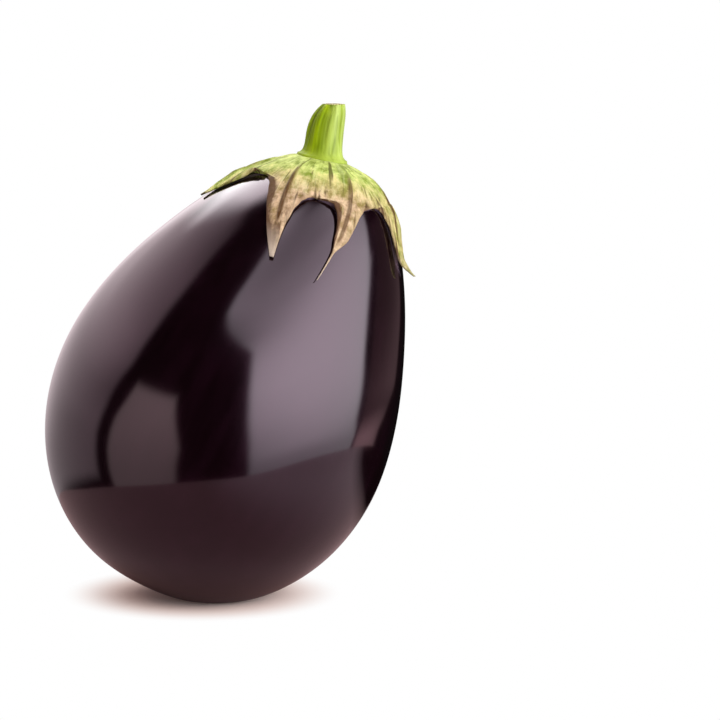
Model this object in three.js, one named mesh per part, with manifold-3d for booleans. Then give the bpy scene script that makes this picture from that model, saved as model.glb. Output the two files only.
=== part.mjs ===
// An eggplant with its green cap and cut stem, standing on its blossom end.
// Millimetres, +Z up. The origin is the middle of the small flat spot that the fruit rests on.
// Three pieces, as they grow: the fruit, the calyx that caps it, and the stem.

import * as THREE from "three";
import { mergeVertices } from "three/addons/utils/BufferGeometryUtils.js";
import Module from "manifold-3d";

const { degToRad, radToDeg, lerp, smoothstep } = THREE.MathUtils;

// Fruit: an egg turned round its own axis, which runs from the blossom end up to the crown. It grew
// slightly bent, so its rings are shifted off that axis, most of all at its shoulder.
const fruitLength = 140.1;
const fruitRadius = 50.8;
const endBluntness = 0.79; // power of the sine: 1 gives an ellipse's ends, less gives blunter ones
const eggTerms = [0.252, -0.146, -0.091]; // cosine terms that carry the belly towards the blossom end
const fruitBow = 1.4; // the largest shift, away from the side that the fruit leans to

// Stance: the fruit leans over, and a shaving off its lowest point is the flat spot it rests on.
const leanAngle = 26.6;
const leanHeading = 6; // compass direction of the lean, from +X towards +Y
const flatDepth = 1.5;

// Cap: the stem and calyx share an axis, which leaves the crown a little to one side of the
// fruit's own axis and tilts that way too. Every ray of the calyx starts from one point on it.
const capOffset = 7.9;
const capTilt = 15.4;
const capRayLength = 40; // from that point up to the crown

// Calyx: a thin cap that follows the skin, cut into pointed lobes.
const seamGap = 0.35; // clearance along a ray between pieces that touch
const calyxHoleRadius = 7.2;
const crownThickness = 1.1;
const lobeThickness = 1.1;
const edgeThickness = 0.7;
const ribHeight = 0.8;
const ribHalfWidth = 0.9;
const crownFade = [12, 28]; // reaches between which the crown thins out and the ribs rise
const tipWidth = 0.035; // a tip is this share of its lobe's width at the notches
const notchSlope = 0.08; // 0 makes the notches' bottoms square to the midribs, more makes them V-shaped

// Each lobe runs round the cap from its notch to the next one's. Angles are in degrees: azimuths
// go round the cap axis, reaches go down from it. root and tip are the azimuths of the midrib's
// two ends, taper is how hollow the lobe's sides are, and arch and curl are how far its middle
// and its tip stand off the fruit, in millimetres.
const lobes = [
  { notch: -143, notchReach: 31, root: -118, tip: -104.5, reach: 73, taper: 3.2, arch: 0.0, curl: 0.5 },
  { notch: -89, notchReach: 37.5, root: -51, tip: -83, reach: 79, taper: 5.5, arch: 0.3, curl: 0.4 },
  { notch: -38, notchReach: 37.5, root: -2, tip: -30, reach: 72, taper: 2.3, arch: 0.2, curl: 2.0 },
  { notch: 26, notchReach: 36, root: 56, tip: 64, reach: 70, taper: 2.8, arch: 0.2, curl: 0.8 },
  { notch: 90, notchReach: 34.5, root: 124, tip: 116, reach: 66, taper: 3.0, arch: 0.2, curl: 1.2 },
  { notch: 154, notchReach: 36, root: 190, tip: 185, reach: 56, taper: 2.0, arch: 0.6, curl: 0.1 },
];

// Stem: heights are above the crown, along the cap axis. Its cut end isn't square to it.
const stemLength = 17;
const stemRadius = 5.2;
const stemFlare = 1.7; // added at the root, and fading upwards over the flare's length
const stemFlareLength = 3;
const stemRounding = 0.42; // share of the radius lost at the rounded rim of the cut
const stemRoundingSkew = 0.12; // added to that on one side, and taken off on the other
const stemBow = 0.7; // how far its middle bows out of the cap axis, away from the lean
const stemBowTurn = 153; // degrees of a sine that the bow takes up from root to cut
const stemCutTilt = 10;
const stemRibs = 6;
const stemRibHeight = 0.3;
const stemRibStart = 3; // the ribs fade in between these two heights
const stemRibFull = 8;
const stemRootHeight = 1.2; // below this the root follows the skin

const fruitSides = 60;
const fruitRows = 38;
const lobeColumns = 12;
const columnCrowding = 1.3; // over 1, a lobe's columns crowd towards its midrib
const crownRows = 5;
const lobeRows = 9;
const stemSides = 36;
const stemRows = 11;

function fruitHeight(turn) {
  return fruitLength * (1 - Math.cos(turn)) / 2;
}

// The skin's distance from the fruit's axis, where turn runs from 0 at the blossom end to pi.
function fruitGirth(turn) {
  const c = Math.cos(turn);
  const egg = 1 + eggTerms[0] * c + eggTerms[1] * c ** 2 + eggTerms[2] * c ** 3;
  return fruitRadius * Math.sin(turn) ** endBluntness * egg;
}

// The shift of the ring at a height: none at either end, and the largest two thirds of the way up.
function fruitShift(height) {
  const share = height / fruitLength;
  const hump = 27 / 4 * share ** 2 * (1 - share); // 1 where it is largest
  return -fruitBow * hump;
}

// The skin on the ring at one turn, at an angle about the fruit's axis.
function skinPoint(turn, angle) {
  const girth = fruitGirth(turn);
  const height = fruitHeight(turn);
  const x = girth * Math.cos(angle) + fruitShift(height);
  return new THREE.Vector3(x, girth * Math.sin(angle), height);
}

function insideFruit(point) {
  if (point.z <= 0 || point.z >= fruitLength) return false;
  const turn = Math.acos(1 - 2 * point.z / fruitLength);
  return Math.hypot(point.x - fruitShift(point.z), point.y) < fruitGirth(turn);
}

// A closed surface over equal rings of points, each counter-clockwise from above, taken upwards.
// A pole closes each end.
function closedSurface(rings, [bottomPole, topPole]) {
  const sides = rings[0].length;
  const points = rings.flat();
  const faces = [];
  for (let strip = 0; strip < rings.length - 1; strip += 1) {
    const lower = strip * sides;
    const upper = lower + sides;
    for (let side = 0; side < sides; side += 1) {
      const next = (side + 1) % sides;
      faces.push(lower + side, lower + next, upper + next);
      faces.push(lower + side, upper + next, upper + side);
    }
  }
  const bottom = points.push(bottomPole) - 1;
  const top = points.push(topPole) - 1;
  const last = (rings.length - 1) * sides;
  for (let side = 0; side < sides; side += 1) {
    const next = (side + 1) % sides;
    faces.push(bottom, next, side);
    faces.push(top, last + side, last + next);
  }
  const geometry = new THREE.BufferGeometry().setFromPoints(points);
  geometry.setIndex(faces);
  return geometry;
}

function circle(sides, pointAt) {
  return Array.from({ length: sides }, (_, side) => pointAt(2 * Math.PI * side / sides));
}

// The lean turns the fruit's axis over towards the heading, without spinning it.
const heading = degToRad(leanHeading);
const lean = degToRad(leanAngle);
const leanAxis = new THREE.Vector3(-Math.sin(heading), Math.cos(heading), 0);
const leanTurn = new THREE.Quaternion().setFromAxisAngle(leanAxis, lean);

// The lowest point of the leaning fruit is on its profile on the side that it leans to.
function lowestSkinPoint() {
  const steps = 4000;
  let lowest = new THREE.Vector3(0, 0, Infinity);
  for (let step = 0; step <= steps; step += 1) {
    const skin = skinPoint(Math.PI * step / steps, heading).applyQuaternion(leanTurn);
    if (skin.z < lowest.z) lowest = skin;
  }
  return lowest;
}

const stancePosition = lowestSkinPoint().negate();
stancePosition.z -= flatDepth;

function makeFruitBody() {
  const rings = [];
  for (let row = 1; row < fruitRows; row += 1) {
    rings.push(circle(fruitSides, (angle) => skinPoint(Math.PI * row / fruitRows, angle)));
  }
  const ends = [new THREE.Vector3(0, 0, 0), new THREE.Vector3(0, 0, fruitLength)];
  const geometry = closedSurface(rings, ends);
  geometry.applyQuaternion(leanTurn);
  geometry.translate(...stancePosition);
  return geometry;
}

const wasm = await Module();
wasm.setup();

function toSolid(geometry) {
  const bare = geometry.clone();
  bare.deleteAttribute("normal");
  bare.deleteAttribute("uv");
  const merged = mergeVertices(bare);
  const vertProperties = new Float32Array(merged.attributes.position.array);
  const triVerts = new Uint32Array(merged.index.array);
  return new wasm.Manifold(new wasm.Mesh({ numProp: 3, vertProperties, triVerts }));
}

// One closed mesh with another cut away from it.
function cutAway(body, tool) {
  const mesh = toSolid(body).subtract(toSolid(tool)).getMesh();
  const geometry = new THREE.BufferGeometry();
  geometry.setAttribute("position", new THREE.BufferAttribute(mesh.vertProperties, 3));
  geometry.setIndex(new THREE.BufferAttribute(mesh.triVerts, 1));
  return geometry;
}

// The fruit is cut after it leans, so that its flat spot is level.
function makeFruit() {
  const slabDepth = 20;
  const slab = new THREE.BoxGeometry(2 * fruitRadius, 2 * fruitRadius, slabDepth);
  slab.translate(0, 0, -slabDepth / 2);
  return cutAway(makeFruitBody(), slab);
}

// The last value between two ends at which a test holds, found by halving.
function lastInside(start, end, isInside) {
  let inside = start;
  let outside = end;
  for (let halving = 0; halving < 40; halving += 1) {
    const middle = (inside + outside) / 2;
    if (isInside(middle)) inside = middle;
    else outside = middle;
  }
  return inside;
}

// The cap's frame, inside the fruit's: its Z runs out along the stem.
const acrossLean = new THREE.Vector3(0, 1, 0);
const capTurn = new THREE.Quaternion().setFromAxisAngle(acrossLean, -degToRad(capTilt));
const crownTurn = lastInside(Math.PI / 2, Math.PI, (turn) => -skinPoint(turn, Math.PI).x > capOffset);
const capOrigin = new THREE.Vector3(0, 0, -capRayLength).applyQuaternion(capTurn);
capOrigin.add(new THREE.Vector3(-capOffset, 0, fruitHeight(crownTurn)));

// The point at a clearance outside the skin, on the ray at these angles in the cap's frame.
function overSkin(reach, azimuth, clearance) {
  const sideways = Math.sin(reach);
  const x = sideways * Math.cos(azimuth);
  const y = sideways * Math.sin(azimuth);
  const ray = new THREE.Vector3(x, y, Math.cos(reach));
  const inFruit = ray.clone().applyQuaternion(capTurn);
  const pointAt = (distance) => inFruit.clone().multiplyScalar(distance).add(capOrigin);
  const skin = lastInside(0, fruitLength, (distance) => insideFruit(pointAt(distance)));
  return ray.multiplyScalar(skin + clearance);
}

// The angles of a place on a lobe. across runs from -1 to 1 over its width, and row from the
// hole, over the crown to the notches, and on to the tip, where the lobe narrows to a point.
function lobePlace(lobe, next, across, row) {
  const nextNotch = next.notch < lobe.notch ? next.notch + 360 : next.notch;
  const middle = (lobe.notch + nextNotch) / 2;
  const halfSpan = (nextNotch - lobe.notch) / 2;
  const notchReach = lerp(lobe.notchReach, next.notchReach, (across + 1) / 2);
  const holeReach = radToDeg(Math.atan(calyxHoleRadius / capRayLength));
  const overCrown = Math.min(row / crownRows, 1);
  const step = Math.max(row - crownRows, 0) / lobeRows;
  const outwards = notchSlope * step + (1 - notchSlope) * step ** lobe.taper;
  const width = 1 - (1 - tipWidth) * step;
  const reach = lerp(lerp(holeReach, notchReach, overCrown), lobe.reach, outwards);
  const spine = lerp(lobe.root, lobe.tip, (reach - holeReach) / (lobe.reach - holeReach));
  const sweep = (spine - middle) * (1 - Math.abs(across) * width);
  const azimuth = middle + across * width * halfSpan + sweep;
  return { reach: degToRad(reach), azimuth: degToRad(azimuth), outwards, width, halfSpan };
}

// How far the underside stands off the skin: a lobe arches a little, and its tip curls up.
function lobeLift(lobe, place) {
  return lobe.arch * Math.sin(Math.PI * (1 - place.width)) ** 2 + lobe.curl * place.outwards ** 4;
}

// The crown thins out to the lobes, which thin out to their tips and, past the notches, to their
// sides. A rounded midrib stands on each of them.
function lobeThicknessAt(across, place) {
  const fromCrown = smoothstep(place.reach, ...crownFade.map(degToRad));
  const middle = lerp(lerp(crownThickness, lobeThickness, fromCrown), edgeThickness, place.outwards);
  const pastNotch = smoothstep(1 - place.width, 0, 0.2);
  const body = lerp(middle, edgeThickness, Math.abs(across) ** 4 * pastNotch);
  const sideways = Math.abs(across) * place.width * degToRad(place.halfSpan);
  const fromRib = sideways * Math.sin(place.reach) * capRayLength;
  const rib = ribHeight * Math.exp(-((fromRib / ribHalfWidth) ** 2));
  return body + rib * fromCrown * (1 - place.outwards);
}

// The two faces of one lobe, from the hole to the tip, and the walls that join them at its edges.
// Over the crown its sides meet the next lobes, so only the part past the notches has side walls.
function addLobe(lobe, next, points, faces) {
  const rows = crownRows + lobeRows;
  const acrossCount = lobeColumns + 1;
  const first = points.length;
  for (let row = 0; row <= rows; row += 1) {
    for (let column = 0; column <= lobeColumns; column += 1) {
      const even = 2 * column / lobeColumns - 1;
      const across = Math.sign(even) * Math.abs(even) ** columnCrowding;
      const place = lobePlace(lobe, next, across, row);
      const under = seamGap + lobeLift(lobe, place);
      const top = under + lobeThicknessAt(across, place);
      points.push(overSkin(place.reach, place.azimuth, top), overSkin(place.reach, place.azimuth, under));
    }
  }
  const topAt = (row, column) => first + 2 * (row * acrossCount + column);
  const underAt = (row, column) => topAt(row, column) + 1;
  const addQuad = (a, b, c, d) => faces.push(a, b, c, a, c, d);
  for (let row = 0; row < rows; row += 1) {
    for (let column = 0; column < lobeColumns; column += 1) {
      const corners = [[row, column], [row + 1, column], [row + 1, column + 1], [row, column + 1]];
      addQuad(...corners.map((corner) => topAt(...corner)));
      addQuad(...corners.map((corner) => underAt(...corner)).reverse());
    }
  }
  for (let column = 0; column < lobeColumns; column += 1) {
    addQuad(topAt(0, column + 1), underAt(0, column + 1), underAt(0, column), topAt(0, column));
    addQuad(topAt(rows, column), underAt(rows, column), underAt(rows, column + 1), topAt(rows, column + 1));
  }
  for (let row = crownRows; row < rows; row += 1) {
    const last = lobeColumns;
    addQuad(topAt(row, 0), underAt(row, 0), underAt(row + 1, 0), topAt(row + 1, 0));
    addQuad(topAt(row + 1, last), underAt(row + 1, last), underAt(row, last), topAt(row, last));
  }
}

function makeCalyx() {
  const points = [];
  const faces = [];
  lobes.forEach((lobe, index) => addLobe(lobe, lobes[(index + 1) % lobes.length], points, faces));
  const geometry = new THREE.BufferGeometry().setFromPoints(points);
  geometry.setIndex(faces);
  return mergeVertices(geometry, 0.001);
}

// The stem flares at its root and rounds off towards the cut, which its tilt raises on one side.
function stemRing(share) {
  const height = share * stemLength;
  const flare = stemFlare * Math.exp(-height / stemFlareLength);
  const bow = stemBow * Math.sin(degToRad(stemBowTurn) * share);
  const ribs = stemRibHeight * smoothstep(height, stemRibStart, stemRibFull);
  const slant = Math.tan(degToRad(stemCutTilt)) * share ** 3;
  return circle(stemSides, (angle) => {
    const rounding = (stemRounding - stemRoundingSkew * Math.cos(angle)) * share ** 5;
    const radius = (stemRadius + flare) * (1 - rounding) + ribs * Math.cos(stemRibs * angle);
    const x = radius * Math.cos(angle);
    return new THREE.Vector3(x - bow, radius * Math.sin(angle), capRayLength + height + x * slant);
  });
}

function makeStem() {
  const rootReach = Math.atan((stemRadius + stemFlare) / capRayLength);
  const rings = [circle(stemSides, (angle) => overSkin(rootReach, angle, seamGap))];
  for (let row = 0; row <= stemRows; row += 1) {
    rings.push(stemRing(lerp(stemRootHeight / stemLength, 1, row / stemRows)));
  }
  const cutMiddle = new THREE.Vector3(0, 0, capRayLength + stemLength);
  return closedSurface(rings, [overSkin(0, 0, seamGap), cutMiddle]);
}

function makeMesh(name, geometry, color, roughness) {
  const mesh = new THREE.Mesh(geometry, new THREE.MeshStandardMaterial({ color, roughness, metalness: 0 }));
  mesh.name = name;
  return mesh;
}

const cap = new THREE.Group();
cap.position.copy(capOrigin);
cap.quaternion.copy(capTurn);
cap.add(makeMesh("calyx", makeCalyx(), 0xb4bf6e, 0.6));
cap.add(makeMesh("stem", makeStem(), 0x9ab52e, 0.5));

const stance = new THREE.Group();
stance.position.copy(stancePosition);
stance.quaternion.copy(leanTurn);
stance.add(cap);

const eggplant = new THREE.Group();
eggplant.name = "eggplant";
eggplant.add(makeMesh("fruit", makeFruit(), 0x23141d, 0.2));
eggplant.add(stance);

export default eggplant;
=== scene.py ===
# %% [markdown]
# # An eggplant, standing on its blossom end
#
# A globe eggplant is three things that grew together: a heavy fruit with a thin, waxy, nearly black
# skin, a leafy calyx that caps it in six pointed lobes, and a short stem that was cut. The packed
# CAD frame already says where each one is and how large. This lesson gives each a finer surface,
# worked out from the same few formulas, and then a finish.
#
# Sizes in the text are millimetres and angles are degrees. Blender works in metres, so every mesh
# is multiplied by `MM` once, at the moment it is made.

import bmesh
import bpy
import numpy as np
from mathutils import Matrix


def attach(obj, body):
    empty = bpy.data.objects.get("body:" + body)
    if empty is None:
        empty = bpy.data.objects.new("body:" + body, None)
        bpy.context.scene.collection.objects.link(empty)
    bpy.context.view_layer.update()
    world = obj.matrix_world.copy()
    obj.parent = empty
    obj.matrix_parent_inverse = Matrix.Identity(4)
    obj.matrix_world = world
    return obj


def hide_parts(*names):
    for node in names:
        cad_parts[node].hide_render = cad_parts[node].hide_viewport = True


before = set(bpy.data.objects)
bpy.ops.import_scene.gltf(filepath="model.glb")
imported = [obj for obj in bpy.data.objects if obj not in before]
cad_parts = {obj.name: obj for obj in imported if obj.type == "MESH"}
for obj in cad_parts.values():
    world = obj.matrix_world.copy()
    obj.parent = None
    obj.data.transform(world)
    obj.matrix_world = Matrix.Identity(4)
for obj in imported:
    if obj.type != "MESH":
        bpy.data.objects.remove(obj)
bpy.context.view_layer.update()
MM = 0.001
print("CAD nodes:", sorted(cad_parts))

# %% [markdown]
# ## The camera
#
# A vegetable this size is usually shot from far away with a long lens, because a near camera makes
# the belly bulge. The camera stands 1.5 m off and looks down by 9 degrees. A lens length is the
# sensor's width times the distance over the width that it has to take in, and comes to 246 mm here.

# %% The camera
CAMERA_DISTANCE = 1.5  # metres, as are the target and the width of the view
CAMERA_DROP = np.radians(9.0)
TARGET = np.array([0.0436, 0.0112, 0.0707])
VIEW_WIDTH = 0.2191
SENSOR = 36.0

camera_data = bpy.data.cameras.new("camera")
camera_data.sensor_width = SENSOR
camera_data.lens = SENSOR * CAMERA_DISTANCE / VIEW_WIDTH
camera = bpy.data.objects.new("camera", camera_data)
backwards = np.array([0.0, -np.cos(CAMERA_DROP), np.sin(CAMERA_DROP)])
camera.location = TARGET + CAMERA_DISTANCE * backwards
camera.rotation_euler = (np.pi / 2 - CAMERA_DROP, 0.0, 0.0)
bpy.context.scene.collection.objects.link(camera)
bpy.context.scene.camera = camera
print("lens", round(camera_data.lens, 1), "mm")

# %% [markdown]
# ## Small helpers for shapes
#
# Every piece here is a grid of points that a formula gives. The formulas need the same two blends
# over and over, and a grid needs the list of its faces. Fruit and stem are stacks of rings, which
# are closed at each end by a fan of triangles to one point, the pole.

# %% Blends and faces
def smoothstep(value, start, end):
    """0 before start, 1 after end, and an S-curve between them."""
    share = np.clip((value - start) / (end - start), 0, 1)
    return share * share * (3 - 2 * share)


def lerp(start, end, share):
    """The value a share of the way from start to end."""
    return start + (end - start) * share


def grid_faces(rows, columns, wrap=False):
    """The squares of a grid of points. wrap joins the last column to the first."""
    squares = columns if wrap else columns - 1
    row, column = np.meshgrid(np.arange(rows - 1), np.arange(squares), indexing="ij")
    following = (column + 1) % columns
    corners = [row * columns + column, row * columns + following]
    corners += [(row + 1) * columns + following, (row + 1) * columns + column]
    return np.stack(corners, -1).reshape(-1, 4)


def pole_faces(rings, sides):
    """The triangles that close a stack of rings. The two poles are the points after the last ring:
    the first one closes the first ring, and the second one closes the last."""
    side = np.arange(sides)
    beside = (side + 1) % sides
    pole = np.full(sides, rings * sides)
    last_ring = (rings - 1) * sides
    start = np.stack([pole, beside, side], -1)
    end = np.stack([pole + 1, last_ring + side, last_ring + beside], -1)
    return np.vstack([start, end]).tolist()


print("3 rings of 8 points:", len(grid_faces(3, 8, wrap=True)), "squares and",
      len(pole_faces(3, 8)), "triangles")

# %% [markdown]
# ## From points to a mesh
#
# One function turns points and faces into a mesh. Numbers that belong to the points, such as how
# dry the leaf is there, go into the mesh as attributes, where a material can read them. A second
# one makes smooth noise, for all that grew unevenly.

# %% Meshes and noise
def make_mesh(name, points, faces, attributes=None, merge=None):
    """A smooth-shaded object at the origin from points in millimetres. merge joins points that are
    closer than that, which also closes the seams between grids."""
    mesh = bpy.data.meshes.new(name)
    mesh.from_pydata((points * MM).tolist(), [], faces)
    for key, values in (attributes or {}).items():
        kind, slot = ("FLOAT", "value") if values.ndim == 1 else ("FLOAT_VECTOR", "vector")
        data = mesh.attributes.new(key, kind, "POINT").data
        data.foreach_set(slot, values.astype(np.float32).reshape(-1))
    work = bmesh.new()
    work.from_mesh(mesh)
    if merge:
        bmesh.ops.remove_doubles(work, verts=work.verts, dist=merge * MM)
    bmesh.ops.recalc_face_normals(work, faces=work.faces)
    open_edges = sum(not edge.is_manifold for edge in work.edges)
    work.to_mesh(mesh)
    work.free()
    mesh.shade_smooth()
    piece = bpy.data.objects.new(name, mesh)
    bpy.context.scene.collection.objects.link(piece)
    triangles = sum(len(face.vertices) - 2 for face in mesh.polygons)
    print(name, triangles, "triangles,", open_edges, "open edges")
    return piece


def waves(points, wavelength, seed, count=14):
    """Smooth noise, about -1 to 1: sine waves of one wavelength that run through space in fixed
    random directions, added up."""
    draw = np.random.default_rng(seed)
    directions = draw.normal(size=(count, 3))
    directions /= np.linalg.norm(directions, axis=1, keepdims=True)
    phases = draw.uniform(0, 2 * np.pi, count)
    turns = points @ directions.T * (2 * np.pi / wavelength) + phases
    return np.sin(turns).sum(-1) / np.sqrt(count * 2)


print("noise at three points:", waves(np.eye(3), 2.0, seed=1).round(2))

# %% [markdown]
# ## The egg
#
# The fruit is an egg turned round its own axis. Its profile is a sine raised to a power just under
# one, which blunts both ends, times a short series in the cosine, which carries the belly towards
# the blossom end. It also grew slightly bent, so its rings are shifted sideways, most of all at the
# shoulder. The whole egg then leans over by 27 degrees and stands on its lowest point, where its
# weight presses a small flat spot.
#
# The values are the frame's own, so the finer skin lies exactly where the CAD solid does.

# %% The egg's profile
FRUIT_LENGTH = 140.1
FRUIT_RADIUS = 50.8
END_BLUNTNESS = 0.79
EGG_TERMS = (0.252, -0.146, -0.091)
FRUIT_BOW = 1.4


def fruit_height(turn):
    """Height along the fruit's axis: turn runs from 0 at the blossom end to pi at the crown."""
    return FRUIT_LENGTH * (1 - np.cos(turn)) / 2


def fruit_girth(turn):
    """Distance from the axis: radius times sine to the power, times the egg's cosine series."""
    c = np.cos(turn)
    egg = 1 + EGG_TERMS[0] * c + EGG_TERMS[1] * c**2 + EGG_TERMS[2] * c**3
    return FRUIT_RADIUS * np.sin(np.clip(turn, 0, np.pi)) ** END_BLUNTNESS * egg


def fruit_shift(height):
    """The sideways shift of the ring at a height: none at the ends, and most two thirds of the way
    up, where the share's square times the rest of the way is at its largest, 4 / 27."""
    share = height / FRUIT_LENGTH
    hump = 27 / 4 * share**2 * (1 - share)
    return -FRUIT_BOW * hump


profile_turn = np.linspace(0, np.pi, 4001)
profile_girth = fruit_girth(profile_turn)
profile_height = fruit_height(profile_turn)
print("widest radius", profile_girth.max().round(1), "mm")

# %% The egg's lean and stance
LEAN_ANGLE = 26.6
LEAN_HEADING = 6.0
FLAT_DEPTH = 1.5


def rotation(degrees, axis):
    """A 3 by 3 rotation matrix about an axis."""
    return np.array(Matrix.Rotation(np.radians(degrees), 3, axis))


heading = np.radians(LEAN_HEADING)
LEAN = rotation(LEAN_ANGLE, (-np.sin(heading), np.cos(heading), 0))
profile_x = profile_girth * np.cos(heading) + fruit_shift(profile_height)
profile = np.stack([profile_x, profile_girth * np.sin(heading), profile_height], -1) @ LEAN.T
STANCE = -profile[profile[:, 2].argmin()] - np.array([0, 0, FLAT_DEPTH])


def place_fruit(points):
    """From the fruit's own frame to the row frame: the lean, then the stance."""
    return points @ LEAN.T + STANCE


print("blossom end at", place_fruit(np.zeros(3)).round(1))

# %% [markdown]
# ## The cap's angles
#
# The calyx hugs the fruit, so its shape is drawn in two angles, as places on a globe are: the
# azimuth goes round the stem, and the reach goes down from it. Every ray starts from one point deep
# under the crown. Where a ray leaves the egg is found by halving, for all the points at once.

# %% The cap's formulas
CAP_OFFSET = 7.9
CAP_TILT = 15.4
CAP_RAY = 40.0
SEAM_GAP = 0.35
HALVINGS = 40
CAP = rotation(-CAP_TILT, (0, 1, 0))
upper = profile_turn > np.pi / 2
crown_x = fruit_shift(profile_height) - profile_girth
crown_height = np.interp(-CAP_OFFSET, crown_x[upper], profile_height[upper])
CAP_ORIGIN = np.array([-CAP_OFFSET, 0, crown_height]) - CAP_RAY * CAP[:, 2]


def inside_fruit(points):
    """True where a point of the fruit's frame is closer to the axis than the skin is."""
    height = points[..., 2]
    turn = np.arccos(np.clip(1 - 2 * height / FRUIT_LENGTH, -1, 1))
    inside = np.hypot(points[..., 0] - fruit_shift(height), points[..., 1]) < fruit_girth(turn)
    return inside & (height > 0) & (height < FRUIT_LENGTH)


def over_skin(reach, azimuth, clearance):
    """The point at a clearance outside the skin on the ray at these angles, in the cap's frame."""
    flat = np.sin(reach)
    ray = np.stack([flat * np.cos(azimuth), flat * np.sin(azimuth), np.cos(reach)], -1)
    near = np.zeros(ray.shape[:-1])
    far = np.full(ray.shape[:-1], FRUIT_LENGTH)
    for _ in range(HALVINGS):
        middle = (near + far) / 2
        is_inside = inside_fruit((middle[..., None] * ray) @ CAP.T + CAP_ORIGIN)
        near = np.where(is_inside, middle, near)
        far = np.where(is_inside, far, middle)
    return ray * (near + clearance)[..., None]


def place_cap(points):
    """From the cap's frame to the row frame, by way of the fruit's."""
    return place_fruit(points @ CAP.T + CAP_ORIGIN)


print("cap axis in the row frame", (LEAN @ CAP[:, 2]).round(3))

# %% [markdown]
# ## The lobes of the calyx, as angles
#
# Each lobe runs round the cap from its notch to the next one's, and down to its tip. `across` goes
# from -1 to 1 over its width, and `step` from 0 at the notches to 1 at the tip. A high `taper`
# gives a lobe hollow sides and a thin tip. The midrib swings from `root` to `tip`, so a lobe can
# lean. `pinch` makes the last part of a lobe a thread, and `hook` turns its tip aside.
#
# The rest is how each one has weathered. `dry` is how far the leaf has gone from green to straw,
# and `brown` how far its first and its last margin have died back. `arch` lifts its middle off the
# fruit and `curl` its tip. `near` and `far` lift its two sides, most of all at the step
# `lift_from`, and no more from `lift_to` on.

# %% The lobes
LOBES = [
    dict(notch=-143, notch_reach=31, root=-118, tip=-104.5, reach=73, taper=3.2, arch=0.0, curl=0.5,
         dry=0.95, brown=(1.0, 0.15), near=0.2, far=0.5),
    dict(notch=-89, notch_reach=37.5, root=-51, tip=-83, reach=79, taper=5.5, arch=0.3, curl=0.4,
         dry=0.95, brown=(0.85, 0.1), near=0.9, far=0.1, pinch=0.8),
    dict(notch=-38, notch_reach=37.5, root=-2, tip=-30, reach=72, taper=2.3, arch=0.2, curl=3.0,
         dry=0.45, brown=(0.5, 0.25), near=0.3, far=0.3, hook=17),
    dict(notch=26, notch_reach=36, root=56, tip=64, reach=70, taper=2.8, arch=0.2, curl=1.2,
         dry=0.3, brown=(0.2, 0.4), near=0.4, far=0.2),
    dict(notch=90, notch_reach=34.5, root=124, tip=116, reach=66, taper=3.0, arch=0.2, curl=1.6,
         dry=0.6, brown=(0.8, 0.3), near=0.2, far=0.6),
    dict(notch=154, notch_reach=36, root=190, tip=185, reach=56, taper=2.0, arch=0.5, curl=0.1,
         dry=0.12, brown=(0.1, 0.4), near=0.1, far=1.4, lift_from=0.16, lift_to=0.62),
]
HOLE_RADIUS = 7.2
HOLE_REACH = np.degrees(np.arctan(HOLE_RADIUS / CAP_RAY))

for lobe, following in zip(LOBES, LOBES[1:] + LOBES[:1]):
    lobe["following"], following["previous"] = following, lobe
print(len(LOBES), "lobes, the hole's reach is", round(HOLE_REACH, 1))

# %% A point's place on a lobe
TIP_WIDTH = 0.035
NOTCH_SLOPE = 0.08
PINCH_FROM, PINCH_TO = 0.45, 0.68


def lobe_span(lobe):
    """The azimuth of the middle between a lobe's two notches, and half the angle between them."""
    span = (lobe["following"]["notch"] - lobe["notch"]) % 360
    return lobe["notch"] + span / 2, span / 2


def way_out(lobe, step):
    """How far down a lobe a step is, 0 to 1: a gentle straight slope plus a power of the step."""
    return NOTCH_SLOPE * step + (1 - NOTCH_SLOPE) * step ** lobe["taper"]


def lobe_angles(lobe, across, over_crown, step):
    """The place of a point on a lobe. Its reach goes from the hole to the notches with over_crown,
    and on to the tip with step. Its azimuth is the lobe's middle plus its share of the width, and
    the midrib's swing, which fades out towards the sides."""
    middle, half_span = lobe_span(lobe)
    notch_reach = lerp(lobe["notch_reach"], lobe["following"]["notch_reach"], (across + 1) / 2)
    outwards = way_out(lobe, step)
    width = 1 - (1 - TIP_WIDTH) * step
    width = width * (1 - lobe.get("pinch", 0) * smoothstep(outwards, PINCH_FROM, PINCH_TO))
    reach = lerp(lerp(HOLE_REACH, notch_reach, over_crown), lobe["reach"], outwards)
    spine = lerp(lobe["root"], lobe["tip"], (reach - HOLE_REACH) / (lobe["reach"] - HOLE_REACH))
    azimuth = middle + across * width * half_span + (spine - middle) * (1 - np.abs(across) * width)
    return reach, azimuth + lobe.get("hook", 0) * outwards**6, outwards, width, half_span


tips = [lobe_angles(lobe, 0.0, 1.0, 1.0)[1] for lobe in LOBES]
print("tips at azimuths", [round(float(tip)) for tip in tips])

# %% [markdown]
# ## The skin's surface
#
# A real skin isn't a perfect egg. The fruit swells unevenly as it grows, and a mirror-like wax
# shows every tenth of a millimetre, so a few long, shallow waves go into the shape itself. The
# blossom leaves a small corky scar in a dimple. Rows of points crowd towards both ends of the axis,
# so that the scar is as round as it should be.
#
# Two attributes go along: `scar`, and `cap_shade`, which is 1 under the calyx and fades out within
# a few millimetres of its edge. The sun never gets there, so the skin stays pale.

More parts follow.
